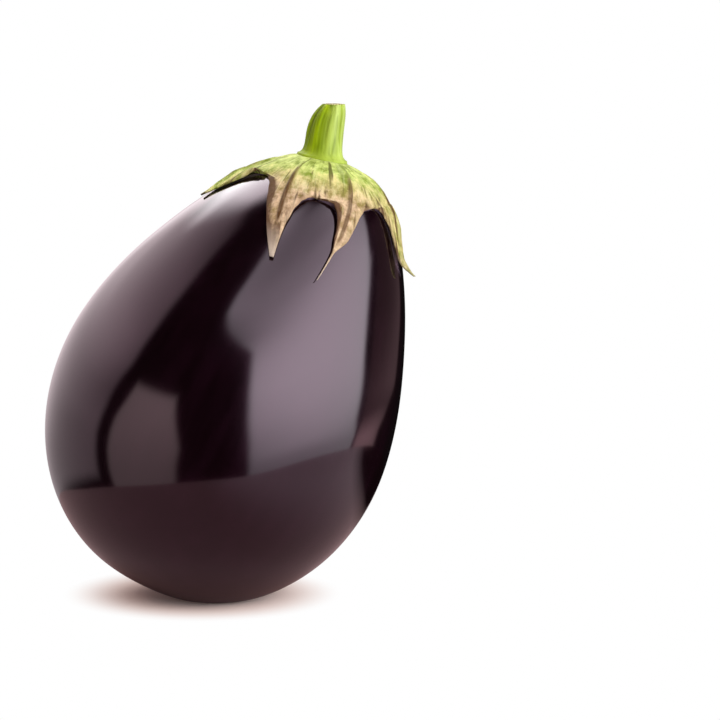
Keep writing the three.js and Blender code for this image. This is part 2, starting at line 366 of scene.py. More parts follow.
# %% The distance from the calyx
def cap_distance(points):
    """How far, in millimetres over the skin, a point of the fruit's frame is outside the calyx.
    For each lobe it is the larger of the way past its tip and the way past its two sides."""
    in_cap = (points - CAP_ORIGIN) @ CAP
    reach = np.degrees(np.arctan2(np.hypot(in_cap[:, 0], in_cap[:, 1]), in_cap[:, 2]))
    azimuth = np.degrees(np.arctan2(in_cap[:, 1], in_cap[:, 0]))
    distance = np.linalg.norm(in_cap, axis=1)
    step = np.linspace(0, 1, 400)
    nearest = np.full(len(points), np.inf)
    for lobe in LOBES:
        sides = [lobe_angles(lobe, side, 1.0, step)[:2] for side in (-1.0, 1.0)]
        first, last = (np.interp(reach, side[0], side[1]) for side in sides)
        turned = (azimuth - (first + last) / 2 + 180) % 360 - 180
        sideways = (np.abs(turned) - (last - first) / 2) * np.sin(np.radians(reach))
        past = np.maximum(sideways, reach - lobe["reach"])
        nearest = np.minimum(nearest, np.radians(past) * distance)
    return nearest


print("the blossom end is", cap_distance(np.zeros((1, 3))).round()[0], "mm from the calyx")

# %% The skin's mesh
SKIN_ROWS = 260
SKIN_SIDES = 320
POLE_CROWDING = 0.9
SCAR_RADIUS = 3.1
DIMPLE_DEPTH = 0.9
SWELLING = 0.22
FLAT_ROUNDING = 0.5
MIDDLE = np.array([0, 0, 0.45 * FRUIT_LENGTH])


def skin_grid():
    """The egg's points in the fruit's frame: rings from the blossom end up, then the two poles. A
    share of a sine is taken from the even spacing, which crowds the rings towards both ends."""
    even = np.linspace(0, 1, SKIN_ROWS + 1)[1:-1]
    turn = np.pi * (even - POLE_CROWDING * np.sin(2 * np.pi * even) / (2 * np.pi))
    angle = np.linspace(0, 2 * np.pi, SKIN_SIDES, endpoint=False)
    turn, angle = np.meshgrid(turn, angle, indexing="ij")
    girth = fruit_girth(turn)
    height = fruit_height(turn)
    x = girth * np.cos(angle) + fruit_shift(height)
    rings = np.stack([x, girth * np.sin(angle), height], -1).reshape(-1, 3)
    return np.vstack([rings, [0, 0, 0], [0, 0, FRUIT_LENGTH]])


def skin_mesh():
    """The egg, moved outwards by the swelling, which is noise 62 and 27 mm long that stops under
    the calyx, and up at the blossom end by a dimple, which is a bell curve. The flat spot is a
    rounded maximum of the height and 0: half the sum of the height and the root of its square plus
    the rounding's square."""
    points = skin_grid()
    from_axis = np.hypot(points[:, 0], points[:, 1])
    low_end = points[:, 2] < FRUIT_LENGTH / 4
    scar = (1 - smoothstep(from_axis, 0.7 * SCAR_RADIUS, 1.15 * SCAR_RADIUS)) * low_end
    dimple = DIMPLE_DEPTH * np.exp(-((from_axis / (1.6 * SCAR_RADIUS)) ** 2)) * low_end
    outside_cap = cap_distance(points)
    outwards = (points - MIDDLE) / np.linalg.norm(points - MIDDLE, axis=1, keepdims=True)
    swelling = waves(points, 62, seed=3) + 0.3 * waves(points, 27, seed=4)
    swelling = SWELLING * swelling * smoothstep(outside_cap, -4, 16)
    points = points + outwards * swelling[:, None] + np.array([0, 0, 1]) * dimple[:, None]
    points = place_fruit(points)
    height = points[:, 2]
    points[:, 2] = (height + np.sqrt(height**2 + FLAT_ROUNDING**2)) / 2
    faces = grid_faces(SKIN_ROWS - 1, SKIN_SIDES, wrap=True).tolist()
    faces += pole_faces(SKIN_ROWS - 1, SKIN_SIDES)
    facts = {"scar": scar, "cap_shade": 1 - smoothstep(outside_cap, -2.4, 0.5)}
    return make_mesh("eggplant_skin", points, faces, facts)


skin = skin_mesh()

# %% [markdown]
# ## The calyx's surface
#
# A calyx is a leaf, so each lobe is a thin sheet: a top face and an underside, a millimetre apart,
# that meet in a rounded edge. The grid follows the lobe. Its rows are spread by their distance
# along the lobe's side, so that a wide notch and a thin tip both get enough of them, and its
# columns crowd to the midrib and to the two sides.

# %% The grid of a lobe
CROWN_ROWS = 22
LOBE_ROWS = 58
LOBE_COLUMNS = 64
LOBE_HALF_WIDTH = 12
LOBE_LENGTH = 32


def even_steps(lobe, count):
    """Steps from the notch to the tip that are evenly spaced along the lobe's side, whose length is
    worked out from a usual half width and length."""
    fine = np.linspace(0, 1, 2000)
    sideways = LOBE_HALF_WIDTH * np.diff(fine)
    downwards = LOBE_LENGTH * np.diff(way_out(lobe, fine))
    length = np.concatenate([[0], np.cumsum(np.hypot(sideways, downwards))])
    return np.interp(np.linspace(0, 1, count), length / length[-1], fine)


def lobe_grid(lobe):
    """across, over_crown and step at every point of a lobe's grid. across is half a power of the
    even spacing, which crowds to the midrib, and half a sine, which crowds to the sides."""
    even = np.linspace(-1, 1, LOBE_COLUMNS + 1)
    across = np.sign(even) * (0.5 * np.abs(even) ** 1.3 + 0.5 * np.sin(np.pi / 2 * np.abs(even)))
    crown = np.linspace(0, 1, CROWN_ROWS, endpoint=False)
    over_crown = np.concatenate([crown, np.ones(LOBE_ROWS)])
    step = np.concatenate([np.zeros(CROWN_ROWS), even_steps(lobe, LOBE_ROWS)])
    across, over_crown = np.meshgrid(across, over_crown)
    return across, over_crown, np.repeat(step[:, None], LOBE_COLUMNS + 1, axis=1)


print("each lobe has", " by ".join(map(str, lobe_grid(LOBES[0])[0].shape)), "points on a face")

# %% [markdown]
# ## The leaf's relief
#
# The thickness carries the detail that a leaf has: a rounded midrib, finer fibres beside it that
# run to the tip, a crease where the lobes leave the crown, and fine crinkles from drying. The
# fibres are noise that is looked up on a ring round the stem and stretched outwards, so they spread
# from the stem and follow every lobe. The same coordinates go along as `fibre`, for the colours.

# %% Thickness and lift
CROWN_THICKNESS = 0.95
LOBE_THICKNESS = 0.9
TIP_THICKNESS = 0.6
RIB_HEIGHT = 0.75
RIB_HALF_WIDTH = 0.7
FIBRE_HEIGHT = 0.1
FIBRE_SPACING = 0.9
FIBRE_RING = 14.0
FIBRE_STRETCH = 9.0
CREASE_DEPTH = 0.4
CREASE_REACH = 18.2
CREASE_SPREAD = 1.1


def leaf_body(lobe, across, outwards, width, reach, skin_place):
    """The leaf's thickness away from its edges, its rib and its crease from 0 to 1, and the fibre
    coordinates. It is a sheet that thins to the tip, plus a bell curve over the midrib, plus the
    fibres' noise, less a bell curve along the crease, plus two fine crinkles. Crown turns to lobe
    between 12 and 28 degrees from the stem."""
    middle, half_span = lobe_span(lobe)
    down = np.degrees(reach)
    crown_share = 1 - smoothstep(down, 12, 28)
    sheet = lerp(lerp(LOBE_THICKNESS, CROWN_THICKNESS, crown_share), TIP_THICKNESS, outwards)
    from_rib = np.abs(across) * width * np.radians(half_span) * np.sin(reach) * CAP_RAY
    rib = np.exp(-((from_rib / RIB_HALF_WIDTH) ** 2)) * (1 - crown_share)
    flow = np.radians(middle + across * width * half_span)
    ring = [FIBRE_RING * np.cos(flow), FIBRE_RING * np.sin(flow)]
    fibre = np.stack([*ring, CAP_RAY * reach / FIBRE_STRETCH], -1)
    ridges = waves(fibre, FIBRE_SPACING, seed=30, count=24)
    ridges = ridges * smoothstep(down, 14, 28) * (1 - outwards)
    crease = np.exp(-(((down - CREASE_REACH) / CREASE_SPREAD) ** 2))
    crease = crease * smoothstep(waves(skin_place, 7, seed=31), -0.5, 0.7)
    crinkle = 0.07 * waves(skin_place, 4.5, seed=32) + 0.04 * waves(skin_place, 2.1, seed=33)
    body = sheet + RIB_HEIGHT * rib * (1 - outwards) + FIBRE_HEIGHT * ridges
    return body - CREASE_DEPTH * crease + crinkle, rib, crease, fibre


def leaf_lift(lobe, across, step, outwards, width):
    """How far a lobe stands off the fruit: its arch, its curl, and the lift of its two sides, which
    comes and goes along the lobe."""
    lift = lobe["arch"] * np.sin(np.pi * (1 - width)) ** 2 * (1 - across**2)
    lift = lift + lobe["curl"] * outwards**4
    lift_from, lift_to = lobe.get("lift_from", 0.5), lobe.get("lift_to", 1.0)
    swing = smoothstep(step, 0, lift_from) * (1 - smoothstep(step, lift_from, lift_to))
    near = lobe["near"] * smoothstep(-across, 0.1, 1)
    return lift + swing * (near + lobe["far"] * smoothstep(across, 0.1, 1))


print("over its midrib a lobe is about", LOBE_THICKNESS + RIB_HEIGHT, "mm thick")

# %% [markdown]
# ## One lobe, and then all six
#
# A lobe's sides are ragged where it dried, so noise moves them in and out a little. Drying also
# buckles the leaf in low, wide bumps. How dry a point is blends from each lobe to the next, so that
# no line shows between them, while the brown of a dead margin starts at the lobe's own side.

# %% One lobe
RAGGED_EDGE = 0.045
RAGGED_LENGTH = 6
SIDE_LENGTH = 40
BUCKLE_HEIGHT = 0.35
BUCKLE_LENGTH = 13
EDGE_DROP = 0.4  # the share of the edge's rounding that is taken off the top


def calyx_lobe(lobe, index):
    """Top and underside of one lobe, and what each point knows about itself. The thickness closes
    to nothing at the sides, by the root of one less the eighth power of the way across."""
    across, over_crown, step = lobe_grid(lobe)
    reach, azimuth, outwards, width, half_span = lobe_angles(lobe, across, over_crown, step)
    side = np.abs(across)
    free = smoothstep(step, 0, 0.12)
    along_side = np.stack([step * SIDE_LENGTH, across, 0 * step + index], -1)
    ragged = RAGGED_EDGE * waves(along_side, RAGGED_LENGTH, seed=20 + index)
    azimuth = azimuth + ragged * half_span * width * across * side * free * (1 - outwards)
    reach, azimuth = np.radians(reach), np.radians(azimuth)
    skin_place = over_skin(reach, azimuth, np.zeros_like(reach))

    body, rib, crease, fibre = leaf_body(lobe, across, outwards, width, reach, skin_place)
    thickness = body * np.sqrt(1 - np.where(step > 0, side**8, 0) * smoothstep(step, 0, 0.02))
    bumps = waves(skin_place, BUCKLE_LENGTH, seed=34)
    buckle = BUCKLE_HEIGHT * smoothstep(bumps, -0.2, 1) * free
    lift = leaf_lift(lobe, across, step, outwards, width)
    under = SEAM_GAP + lift + buckle + (body - thickness) * EDGE_DROP
    top = over_skin(reach, azimuth, under + thickness)
    bottom = over_skin(reach, azimuth, under)

    neighbour = np.where(across < 0, lobe["previous"]["dry"], lobe["following"]["dry"])
    dry = lerp(lobe["dry"], neighbour, side**2 * (1 - outwards) / 2)
    brown = lerp(*lobe["brown"], (across + 1) / 2)
    facts = {
        "outwards": outwards,
        "rib": rib * (1 - smoothstep(outwards, 0.35, 0.7)),
        "crease": crease,
        "edge": smoothstep(side, 0.7, 1) * free,
        "brown": brown * smoothstep(side, 0.3, 0.75) * free,
        "dry": dry * smoothstep(np.degrees(reach), 16, 42),
    }
    facts = {key: np.broadcast_to(value, step.shape).reshape(-1) for key, value in facts.items()}
    return top, bottom, facts | {"fibre": fibre.reshape(-1, 3)}


top, bottom, _ = calyx_lobe(LOBES[0], 0)
print("the first lobe is at most", np.linalg.norm(top - bottom, axis=-1).max().round(2), "mm thick")

# %% The calyx's mesh
MERGE_DISTANCE = 0.004


def calyx_mesh():
    """All six lobes as one closed shell: two grids for each lobe, with walls between them round the
    hole, at the tip and along both sides. Merging close points joins each lobe to its neighbours
    and closes the edges. The crown gets no walls at its sides, because it goes on there."""
    points, faces, facts = [], [], {}
    rows, columns = CROWN_ROWS + LOBE_ROWS, LOBE_COLUMNS + 1
    grid = grid_faces(rows, columns)
    underside = rows * columns
    column = np.arange(columns - 1)
    row = np.arange(CROWN_ROWS, rows - 1)
    last_row = underside - columns
    ends = [np.stack([column, column + 1], -1) + start for start in (0, last_row)]
    sides = [np.stack([row, row + 1], -1) * columns + edge for edge in (0, columns - 1)]
    rim = np.vstack(ends + sides)
    walls = np.hstack([rim, rim[:, ::-1] + underside])
    for index, lobe in enumerate(LOBES):
        top, bottom, own = calyx_lobe(lobe, index)
        first = 2 * underside * index
        points += [place_cap(top.reshape(-1, 3)), place_cap(bottom.reshape(-1, 3))]
        for block in (grid, grid[:, ::-1] + underside, walls):
            faces += (block + first).tolist()
        for key, values in own.items():
            facts.setdefault(key, []).extend([values] * 2)
    facts = {key: np.concatenate(values) for key, values in facts.items()}
    return make_mesh("eggplant_calyx", np.vstack(points), faces, facts, merge=MERGE_DISTANCE)


calyx = calyx_mesh()

# %% [markdown]
# ## The stem's surface
#
# The stem is a stack of rings. It flares where it joins the calyx, on which it ends in a thin
# collar that covers the seam, because the two grew together. It carries six soft ribs with finer
# fibres between them, and rounds off where the shears crushed it.

# %% The stem's wall
STEM_LENGTH = 17.0
STEM_RADIUS = 5.2
STEM_FLARE = 1.7
STEM_FLARE_LENGTH = 3.0
STEM_ROUNDING = 0.42
STEM_ROUNDING_SKEW = 0.12
STEM_BOW = 0.7
STEM_BOW_TURN = 153.0
STEM_CUT_TILT = 10.0
STEM_ROOT = 0.9
COLLAR_FLARE = 1.1
COLLAR_FLARE_LENGTH = 0.55
STEM_RIBS = 6
STEM_RIB_HEIGHT = 0.3
STEM_LUMP_HEIGHT = 0.12


def stem_bark(angle, height):
    """The height of the ribs and of the fibres: cosines and sines round the stem. The fibres drift
    to the side and back as they climb."""
    ribs = STEM_RIB_HEIGHT * smoothstep(height, 2, 8) * np.cos(STEM_RIBS * angle)
    drift = 0.25 * np.sin(height / 5 + 2 * angle)
    fibres = 0.06 * np.sin(17 * angle + 6 * drift) + 0.04 * np.sin(31 * angle - 5 * drift)
    return ribs, fibres * smoothstep(height, 0.5, 3)


def stem_wall(angle, share):
    """Rings from the root to the rim, share of the length up. A ring's radius is the stem's plus
    two flares that die out with height, less the rounding at the top, plus ribs, fibres and lumps,
    which are noise on a plain tube. A sine bows the stem, and a slope that grows with height slants
    its cut."""
    height = share * STEM_LENGTH
    flare = STEM_FLARE * np.exp(-height / STEM_FLARE_LENGTH)
    flare = flare + COLLAR_FLARE * np.exp(-(height - STEM_ROOT) / COLLAR_FLARE_LENGTH)
    rounding = (STEM_ROUNDING - STEM_ROUNDING_SKEW * np.cos(angle)) * share**5
    ribs, fibres = stem_bark(angle, height)
    tube = np.stack(np.broadcast_arrays(5 * np.cos(angle), 5 * np.sin(angle), height), -1)
    lumps = STEM_LUMP_HEIGHT * waves(tube, 8, seed=41) * smoothstep(height, 1, 4)
    ring = (STEM_RADIUS + flare) * (1 - rounding) + ribs + fibres + lumps
    slant = np.tan(np.radians(STEM_CUT_TILT)) * share**3
    x = ring * np.cos(angle)
    bow = STEM_BOW * np.sin(np.radians(STEM_BOW_TURN) * share)
    return np.stack([x - bow, ring * np.sin(angle), CAP_RAY + height + x * slant], -1)


foot, rim = stem_wall(np.zeros((1, 1)), np.array([[STEM_ROOT / STEM_LENGTH], [1.0]]))[:, 0, 0]
print("the wall reaches", foot.round(1), "mm out at the foot and", rim.round(1), "at the rim")

# %% [markdown]
# ## The cut and the collar
#
# The cut is one more set of rings, which run inwards: a bark rim, a slightly sunken ring of flesh,
# and the pith. At the foot, two rings lie on the cap: one on the skin, inside the calyx's hole, and
# the collar's edge, sunk a little into the calyx.
#
# Five attributes go along. `along` goes up the stem, `inner` goes from the rim to the pith, `cut`
# is 1 on the cut, `ridge` is high on ribs and fibres, and the fifth is painted light and shade: it
# is 1 on the stem's right side, towards the key lamp, and 0 on its far side.

# %% The stem's mesh
STEM_SIDES = 180
STEM_ROWS = 90
CUT_ROWS = 26
CUT_DEPTH = 0.28
PITH_HEIGHT = 0.16
COLLAR_RADIUS = 7.9
COLLAR_SINK = 0.2


def stem_cut(rim, angle, inwards):
    """Rings from the rim, at 1, towards its middle, at 0. The face sinks fast behind the rim, by
    the sixth power, and a bell curve lifts the pith. Grain runs out to the rim."""
    centre = rim.mean(axis=0)
    cut = centre + (rim[None] - centre) * inwards[..., None]
    dish = CUT_DEPTH * (1 - inwards**6) - PITH_HEIGHT * np.exp(-((inwards / 0.35) ** 2))
    grain = 0.05 * np.cos(17 * angle + 3 * inwards) * smoothstep(inwards, 0.2, 0.6)
    cut[..., 2] -= dish + grain
    return cut, centre - [0, 0, CUT_DEPTH - PITH_HEIGHT]


def stem_base(angle):
    """The two rings that lie on the cap, from the skin in the calyx's hole to the collar's edge."""
    reach = np.arctan(np.array([[STEM_RADIUS + STEM_FLARE], [COLLAR_RADIUS]]) / CAP_RAY)
    clearance = np.array([[SEAM_GAP], [SEAM_GAP + CROWN_THICKNESS - COLLAR_SINK]])
    return over_skin(*np.broadcast_arrays(reach, angle, clearance))


def stem_mesh():
    """Base, wall and cut as one stack of rings, with a pole under the stem and one at the pith."""
    angle = np.linspace(0, 2 * np.pi, STEM_SIDES, endpoint=False)[None]
    share = np.linspace(STEM_ROOT / STEM_LENGTH, 1, STEM_ROWS)[:, None]
    inwards = np.linspace(1, 0, CUT_ROWS + 1)[1:-1, None]
    base = stem_base(angle)
    print("the collar's edge is", (base[1, :, 2] - CAP_RAY).round(2).min(), "mm up")
    wall = stem_wall(angle, share)
    cut, pith = stem_cut(wall[-1], angle, inwards)
    rings = np.concatenate([base, wall, cut])
    root = over_skin(np.zeros(1), np.zeros(1), np.full(1, SEAM_GAP))
    points = np.vstack([rings.reshape(-1, 3), root, pith[None]])
    faces = grid_faces(len(rings), STEM_SIDES, wrap=True).tolist()
    faces += pole_faces(len(rings), STEM_SIDES)

    below, over_cut = np.zeros(len(base)), np.ones(len(cut))
    along = np.concatenate([below, share[:, 0], over_cut])
    inner = np.concatenate([below, np.zeros(STEM_ROWS), 1 - inwards[:, 0]])
    is_cut = np.concatenate([below, np.zeros(STEM_ROWS - 1), [0.5], over_cut])
    ribs, fibres = stem_bark(angle, share * STEM_LENGTH)
    ridge = np.zeros(rings.shape[:2])
    ridge[len(base) : len(base) + STEM_ROWS] = (ribs + 2 * fibres) / 0.5
    facts = {key: np.append(np.repeat(row, STEM_SIDES), [0, 1])
             for key, row in (("along", along), ("inner", inner), ("cut", is_cut))}
    facts["ridge"] = np.append(ridge, [0, 0])
    # Painted light and shade: the fifth attribute is 1 on the stem's right side, towards the key
    # lamp, and 0 on the far side.
    facts["painted_lit_side"] = np.append(np.tile(smoothstep(np.cos(angle[0]), -0.3, 0.8), len(rings)), [0, 0])
    return make_mesh("eggplant_stem", place_cap(points), faces, facts)


stem = stem_mesh()

# %% [markdown]
# ## Helpers for materials
#
# Colours are written as sRGB hex values, as a paint program shows them, and turned to the linear
# values that a renderer adds up. One function adds a node with its settings and its links, and a
# few short ones say common sets of nodes in fewer words. A pattern's scale is one over the size of
# its features.

# %% Material helpers
def linear(hex_colour):
    """An sRGB hex colour as linear red, green, blue and alpha."""
    value = np.array([int(hex_colour[i : i + 2], 16) for i in (1, 3, 5)]) / 255
    value = np.where(value <= 0.04045, value / 12.92, ((value + 0.055) / 1.055) ** 2.4)
    return (*value.tolist(), 1.0)


def add(tree, kind, inputs=None, output=None, **settings):
    """Adds a node. Its settings are its own properties, and each input, by name or by number, gets
    a value or a link from another node's socket. Gives back its first output, or the one named."""
    node = tree.nodes.new("ShaderNode" + kind)
    for name, value in settings.items():
        setattr(node, name, value)
    for name, value in (inputs or {}).items():
        by_name = (s for s in node.inputs if s.name == name and s.enabled)
        socket = node.inputs[name] if isinstance(name, int) else next(by_name)
        if isinstance(value, bpy.types.NodeSocket):
            tree.links.new(value, socket)
        else:
            socket.default_value = value
    usable = [s for s in node.outputs if s.enabled]
    return next((s for s in usable if s.name == output), usable[0]) if usable else None


def mix(tree, factor, a, b):
    """A colour a share of the way from a to b, each a hex colour or another node's output."""
    colours = {key: linear(c) if isinstance(c, str) else c for key, c in (("A", a), ("B", b))}
    return add(tree, "Mix", {"Factor": factor, **colours}, "Result", data_type="RGBA")


def ramp(tree, value, start, end, low=0.0, high=1.0):
    """A value stretched from start..end to low..high, and held there outside it."""
    ends = {"From Min": start, "From Max": end, "To Min": low, "To Max": high}
    return add(tree, "MapRange", {"Value": value, **ends})


def maths(tree, operation, a, b):
    """Two values put together by one operation."""
    return add(tree, "Math", {0: a, 1: b}, operation=operation)


def new_material(name):
    """An empty node material and its tree."""
    material = bpy.data.materials.new(name)
    material.use_nodes = True
    material.node_tree.nodes.clear()
    return material, material.node_tree


def finish_piece(piece, material):
    """Puts the material on the piece."""
    piece.data.materials.append(material)
    print(piece.name, "is", material.name, "of", len(material.node_tree.nodes), "nodes")


def per_mm(size):
    """A texture's scale, on coordinates in metres, for features of this size in millimetres."""
    return 1 / (size * MM)


def read_facts(tree, *names):
    """The mesh's attributes of these names, as sockets."""
    return {name: add(tree, "Attribute", output="Fac", attribute_name=name) for name in names}


FRUIT_TURN = Matrix(LEAN.tolist()).to_euler()
CAP_TURN = Matrix((LEAN @ CAP).tolist()).to_euler()
CAP_PLACE = (place_cap(np.zeros(3)) * MM).tolist()
print("fruit turned by", [round(float(np.degrees(a)), 1) for a in FRUIT_TURN])

# %% [markdown]
# ## The finish of the skin: waxed eggplant skin
#
# Eggplant skin is a film of nearly black purple under a natural wax. The wax gives a clear, sharp
# mirror image of lamps and table, and the pigment below gives back almost nothing, with a breath of
# red where the light is strong. So the material is a very dark base with a smooth coat over it,
# both with a wax's IOR of 1.5. What keeps it from looking like painted plastic is small: the
# pigment varies in faint streaks, 5 mm apart and nine times as long, that run along the fruit. The
# wax is duller in patches of 12 mm, and there are pin-prick pores 2.4 mm apart. Under the calyx the
# skin is pale, and the blossom scar is rough cork with a grain of 0.8 mm.

# %% Waxed eggplant skin
def waxed_skin():
    """Dark pigment in streaks, pale under the calyx, corky at the scar, below a smooth wax."""
    material, tree = new_material("waxed_eggplant_skin")
    place = add(tree, "TexCoord", output="Object")
    along = add(tree, "Mapping", {"Vector": place, "Rotation": FRUIT_TURN, "Scale": (1, 1, 9)},
                vector_type="TEXTURE")
    fact = read_facts(tree, "cap_shade", "scar")
    streaks = add(tree, "TexNoise",
                  {"Vector": along, "Scale": per_mm(5), "Detail": 4.0, "Roughness": 0.6})
    clouds = add(tree, "TexNoise", {"Vector": place, "Scale": per_mm(30), "Detail": 2.0})
    cork = add(tree, "TexNoise", {"Vector": place, "Scale": per_mm(0.8), "Detail": 5.0})
    pigment = mix(tree, clouds, "#070103", "#0c0205")
    pigment = mix(tree, ramp(tree, streaks, 0.45, 0.75), pigment, "#12040a")
    pigment = mix(tree, ramp(tree, fact["cap_shade"], 0.15, 0.95), pigment, "#8d7488")
    colour = mix(tree, fact["scar"], pigment, mix(tree, cork, "#5e4630", "#a88c66"))
    dull = add(tree, "TexNoise", {"Vector": place, "Scale": per_mm(12), "Detail": 3.0})
    wax = ramp(tree, dull, 0.3, 0.7, 0.13, 0.17)
    roughness = add(tree, "Mix", {"Factor": fact["scar"], "A": wax, "B": 0.75})
    pores = add(tree, "TexVoronoi", {"Vector": place, "Scale": per_mm(2.4)}, "Distance")
    fine = add(tree, "TexNoise", {"Vector": along, "Scale": per_mm(1.6), "Detail": 2.0})
    relief = add(tree, "Bump", {"Height": fine, "Strength": 0.5, "Distance": 0.012 * MM})
    pits = ramp(tree, pores, 0.0, 0.12, 1.0, 0.0)
    relief = add(tree, "Bump",
                 {"Height": pits, "Strength": 0.5, "Distance": 0.03 * MM, "Normal": relief},
                 invert=True)
    surface = add(tree, "BsdfPrincipled", {
        "Base Color": colour, "Roughness": roughness, "IOR": 1.5,
        "Specular Tint": linear("#ffb5de"), "Coat Weight": 1.0, "Coat Roughness": 0.085,
        "Coat IOR": 1.5, "Normal": relief,
    })
    add(tree, "OutputMaterial", {"Surface": surface})
    return material


finish_piece(skin, waxed_skin())

# %% [markdown]
# ## The finish of the calyx: drying leaf
#
# A calyx is fleshy and green while it grows, and its lobes dry from their tips once it is picked.
# Drying turns green to straw, then to a pinkish tan with dark brown ribs, and the margins that died
# first are brown. Fine felt covers it, so it has hardly any shine. The mesh says how dry and how
# brown each point is, and noise breaks that up, so the colours meet in ragged patches as they do on
# a leaf: patches of 3.4 mm, and felt of 0.7 mm. The fibres, flecks and broad streaks are finer
# across than along, because they read the `fibre` coordinates, which are in millimetres already.

# %% The colours of the drying leaf
FIBRE_SCALE = 1 / 0.9
FLECK_SCALE = 1 / 1.5
STREAK_SCALE = 1 / 2.6


def leaf_ground(tree, patches, dryness):
    """Green turns to straw and straw to tan as the leaf dries, each mottled with a paler shade."""
    mottle = ramp(tree, patches, 0.36, 0.64)
    green = mix(tree, mottle, "#7c8a2a", "#d0d97c")
    straw = mix(tree, mottle, "#877a3e", "#d3c382")
    tan = mix(tree, mottle, "#7a5634", "#d6b694")
    colour = mix(tree, ramp(tree, dryness, 0.1, 0.45), green, straw)
    return mix(tree, ramp(tree, dryness, 0.5, 0.95), colour, tan)


def leaf_streaks(tree, flow, flecks, dryness, colour):
    """Pale and dark fibres, broad dark streaks and darker flecks, which all run with the leaf."""
    fibres = add(tree, "TexNoise",
                 {"Vector": flow, "Scale": FIBRE_SCALE, "Detail": 4.0, "Roughness": 0.65})
    broad = add(tree, "TexNoise", {"Vector": flow, "Scale": STREAK_SCALE, "Detail": 2.0})
    pale = mix(tree, dryness, "#cfd68a", "#dcc4a0")
    dark = mix(tree, dryness, "#4b5418", "#4c2e18")
    colour = mix(tree, ramp(tree, fibres, 0.48, 0.3, 0.0, 0.6), colour, pale)
    colour = mix(tree, ramp(tree, fibres, 0.55, 0.7, 0.0, 0.5), colour, dark)
    colour = mix(tree, ramp(tree, broad, 0.58, 0.74, 0.0, 0.55), colour, dark)
    darkest = mix(tree, dryness, "#565a1c", "#4c2f1b")
    return mix(tree, ramp(tree, flecks, 0.6, 0.68, 0.0, 0.8), colour, darkest)


def leaf_edges(tree, fact, flecks, dryness, colour):
    """A pale rim, a dark rib, a brown margin and a bleached tip, each stronger where it is dry."""
    dried = ramp(tree, dryness, 0.25, 0.75)
    rim = maths(tree, "MULTIPLY", ramp(tree, fact["edge"], 0.2, 0.7, 0.0, 0.5), dried)
    colour = mix(tree, rim, colour, "#b89478")
    rib = ramp(tree, fact["rib"], 0.1, 0.6)
    rib = maths(tree, "MULTIPLY", rib, ramp(tree, dryness, -0.1, 0.5))
    rib = maths(tree, "MULTIPLY", rib, ramp(tree, flecks, 0.3, 0.55, 0.55, 1.0))
    colour = mix(tree, rib, colour, "#4f3217")
    ragged = maths(tree, "ADD", fact["brown"], ramp(tree, flecks, 0.35, 0.65, -0.3, 0.35))
    colour = mix(tree, ramp(tree, ragged, 0.2, 0.7, 0.0, 0.9), colour, "#4a2b1a")
    tip = maths(tree, "MULTIPLY", ramp(tree, fact["outwards"], 0.6, 1.0, 0.0, 0.85), dried)
    return mix(tree, tip, colour, "#b8a596")


scales = (FIBRE_SCALE, FLECK_SCALE, STREAK_SCALE)
print("fibres, flecks and streaks:", [round(1 / scale, 1) for scale in scales], "mm")

# %% Drying calyx leaf
def calyx_leaf():
    """Green crown to straw to tan by the dry attribute, with fibres, flecks, brown ribs and edges,
    painted shade along the crease, and felt over all of it."""
    material, tree = new_material("drying_calyx_leaf")
    place = add(tree, "TexCoord", output="Object")
    flow = add(tree, "Attribute", output="Vector", attribute_name="fibre")
    fact = read_facts(tree, "outwards", "rib", "crease", "edge", "brown", "dry")
    patches = add(tree, "TexNoise",
                  {"Vector": place, "Scale": per_mm(3.4), "Detail": 4.0, "Roughness": 0.65})
    flecks = add(tree, "TexNoise",
                 {"Vector": flow, "Scale": FLECK_SCALE, "Detail": 3.0, "Distortion": 0.8})
    felt = add(tree, "TexNoise",
               {"Vector": place, "Scale": per_mm(0.7), "Detail": 4.0, "Roughness": 0.7})
    dryness = maths(tree, "ADD", fact["dry"], ramp(tree, patches, 0.3, 0.7, -0.22, 0.22))
    colour = leaf_ground(tree, patches, dryness)
    colour = leaf_streaks(tree, flow, flecks, dryness, colour)
    colour = leaf_edges(tree, fact, flecks, dryness, colour)
    # Painted shade: the crease where the lobes leave the crown is darkened.
    colour = mix(tree, ramp(tree, fact["crease"], 0.3, 0.9, 0.0, 0.75), colour, "#555c26")
    colour = mix(tree, ramp(tree, felt, 0.6, 0.75, 0.0, 0.5), colour, "#75663c")
    relief = add(tree, "Bump", {"Height": felt, "Strength": 0.7, "Distance": 0.12 * MM})
    surface = add(tree, "BsdfPrincipled", {
        "Base Color": colour, "Roughness": 0.62, "IOR": 1.42, "Specular IOR Level": 0.15,
        "Normal": relief,
    })
    add(tree, "OutputMaterial", {"Surface": surface})
    return material


finish_piece(calyx, calyx_leaf())
